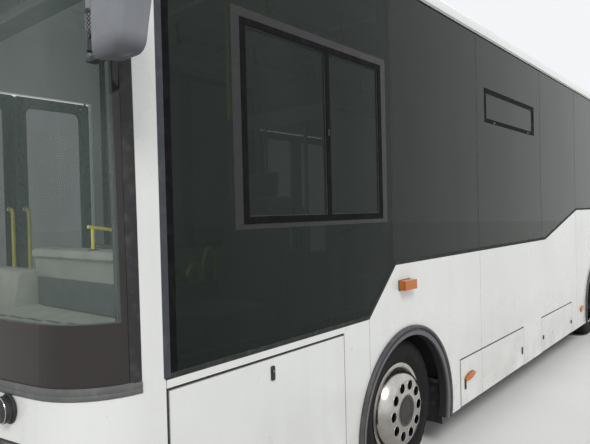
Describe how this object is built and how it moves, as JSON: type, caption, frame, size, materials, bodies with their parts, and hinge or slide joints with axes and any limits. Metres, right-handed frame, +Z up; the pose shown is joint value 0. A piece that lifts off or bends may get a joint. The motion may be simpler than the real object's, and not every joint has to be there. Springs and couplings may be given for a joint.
{
  "type": "low-floor airport passenger bus",
  "caption": "Low-floor passenger bus with a bowed nose, stepped bonded side glass, folding-in door leaves, hinged service lids, steered front wheels and paired rear wheels.",
  "frame": {"origin": "middle of the bus's outline on the ground it stands on", "axes": "+X runs to the tail, +Y to the door side, +Z up"},
  "size_m": [9.1999, 2.89, 2.99],
  "materials": {
    "body_paint": "gloss white, slightly dirty",
    "chassis_paint": "satin black",
    "floor_lino": "flecked vinyl",
    "housing_coat": "rough black",
    "frame_black": "satin black",
    "screen_glass": "clear with a green tint",
    "tinted_glass": "dark green tint",
    "arch_rubber": "weathered grey",
    "engine_iron": "oily",
    "dash_plastic": "grained",
    "driver_fabric": "woven",
    "seat_plastic": "moulded blue",
    "rail_yellow": "gloss yellow",
    "partition_plastic": "grained",
    "fitting_black": "grained",
    "lamp_plastic": "clear, red and amber",
    "wheel_leather": "grained",
    "tyre_rubber": "worn",
    "rim_steel": "polished with brake dust"
  },
  "bodies": {
    "chassis": {"underframe": "chassis_paint", "floor": "floor_lino", "wheel_housings": "housing_coat", "left_side": "body_paint", "right_side": "body_paint", "front_panels": "body_paint", "rear_panels": "body_paint", "roof": "body_paint", "window_frames": "frame_black", "windscreen": "screen_glass", "side_glass": "tinted_glass", "rear_glass": "tinted_glass", "arch_trims": "arch_rubber", "engine": "engine_iron", "axles": "chassis_paint", "dashboard": "dash_plastic", "driver_seat": "driver_fabric", "passenger_seats": "seat_plastic", "grab_rails": "rail_yellow", "cab_partition": "partition_plastic", "mirrors": "fitting_black", "wipers": "fitting_black", "lamps": "lamp_plastic"},
    "steering_wheel": {"steering_wheel": "wheel_leather"},
    "left_knuckle": {"left_knuckle": "chassis_paint"},
    "right_knuckle": {"right_knuckle": "chassis_paint"},
    "front_left_wheel": {"front_left_tyre": "tyre_rubber", "front_left_rim": "rim_steel"},
    "front_right_wheel": {"front_right_tyre": "tyre_rubber", "front_right_rim": "rim_steel"},
    "rear_left_wheels": {"rear_left_tyres": "tyre_rubber", "rear_left_rims": "rim_steel"},
    "rear_right_wheels": {"rear_right_tyres": "tyre_rubber", "rear_right_rims": "rim_steel"},
    "front_door_leaf_1": {"front_door_leaf_1": "frame_black", "front_door_glass_1": "tinted_glass"},
    "front_door_leaf_2": {"front_door_leaf_2": "frame_black", "front_door_glass_2": "tinted_glass"},
    "mid_door_leaf_1": {"mid_door_leaf_1": "frame_black", "mid_door_glass_1": "tinted_glass"},
    "mid_door_leaf_2": {"mid_door_leaf_2": "frame_black", "mid_door_glass_2": "tinted_glass"},
    "battery_lid": {"battery_lid": "body_paint"},
    "locker_lid": {"locker_lid": "body_paint", "lid_marker": "lamp_plastic"},
    "heater_lid": {"heater_lid": "body_paint"},
    "engine_lid": {"engine_lid": "body_paint"}
  },
  "joints": [
    {"name": "left_steer", "type": "hinge", "parent": "chassis", "child": "left_knuckle", "pos_m": [-2.46, -0.85, 0.405], "axis": [0, 0, 1], "range_deg": [-40, 40]},
    {"name": "right_steer", "type": "hinge", "parent": "chassis", "child": "right_knuckle", "pos_m": [-2.46, 0.85, 0.405], "axis": [0, 0, 1], "range_deg": [-40, 40]},
    {"name": "steering_wheel_turn", "type": "hinge", "parent": "chassis", "child": "steering_wheel", "pos_m": [-3.86, -0.64, 1.33], "axis": [0.4695, 0, 0.8829], "range_deg": [-640, 640]},
    {"name": "front_left_spin", "type": "hinge", "parent": "left_knuckle", "child": "front_left_wheel", "pos_m": [-2.46, -0.99, 0.405], "axis": [0, 1, 0], "continuous": true},
    {"name": "front_right_spin", "type": "hinge", "parent": "right_knuckle", "child": "front_right_wheel", "pos_m": [-2.46, 0.99, 0.405], "axis": [0, 1, 0], "continuous": true},
    {"name": "rear_left_spin", "type": "hinge", "parent": "chassis", "child": "rear_left_wheels", "pos_m": [2.16, -0.99, 0.405], "axis": [0, 1, 0], "continuous": true},
    {"name": "rear_right_spin", "type": "hinge", "parent": "chassis", "child": "rear_right_wheels", "pos_m": [2.16, 0.99, 0.405], "axis": [0, 1, 0], "continuous": true},
    {"name": "front_door_1_swing", "type": "hinge", "parent": "chassis", "child": "front_door_leaf_1", "pos_m": [-4.106, 1.162, 0.37], "axis": [0, 0, -1], "range_deg": [0, 90]},
    {"name": "front_door_2_swing", "type": "hinge", "parent": "chassis", "child": "front_door_leaf_2", "pos_m": [-3.065, 1.162, 0.37], "axis": [0, 0, 1], "range_deg": [0, 90]},
    {"name": "mid_door_1_swing", "type": "hinge", "parent": "chassis", "child": "mid_door_leaf_1", "pos_m": [-1.178, 1.162, 0.37], "axis": [0, 0, -1], "range_deg": [0, 90]},
    {"name": "mid_door_2_swing", "type": "hinge", "parent": "chassis", "child": "mid_door_leaf_2", "pos_m": [-0.042, 1.162, 0.37], "axis": [0, 0, 1], "range_deg": [0, 90]},
    {"name": "battery_lid_lift", "type": "hinge", "parent": "chassis", "child": "battery_lid", "pos_m": [-3.614, -1.166, 0.941], "axis": [-1, 0, 0], "range_deg": [0, 80]},
    {"name": "locker_lid_lift", "type": "hinge", "parent": "chassis", "child": "locker_lid", "pos_m": [-1.125, -1.166, 0.527], "axis": [-1, 0, 0], "range_deg": [0, 80]},
    {"name": "heater_lid_lift", "type": "hinge", "parent": "chassis", "child": "heater_lid", "pos_m": [0.5285, -1.166, 0.526], "axis": [-1, 0, 0], "range_deg": [0, 80]},
    {"name": "engine_lid_lift", "type": "hinge", "parent": "chassis", "child": "engine_lid", "pos_m": [4.56191, 0, 1.34], "axis": [0, -1, 0], "range_deg": [0, 75]}
  ],
  "couplings": [
    {"joint": "right_steer", "follows": "left_steer", "ratio": 1},
    {"joint": "steering_wheel_turn", "follows": "left_steer", "ratio": 16},
    {"joint": "front_door_2_swing", "follows": "front_door_1_swing", "ratio": 1},
    {"joint": "mid_door_2_swing", "follows": "mid_door_1_swing", "ratio": 1}
  ]
}
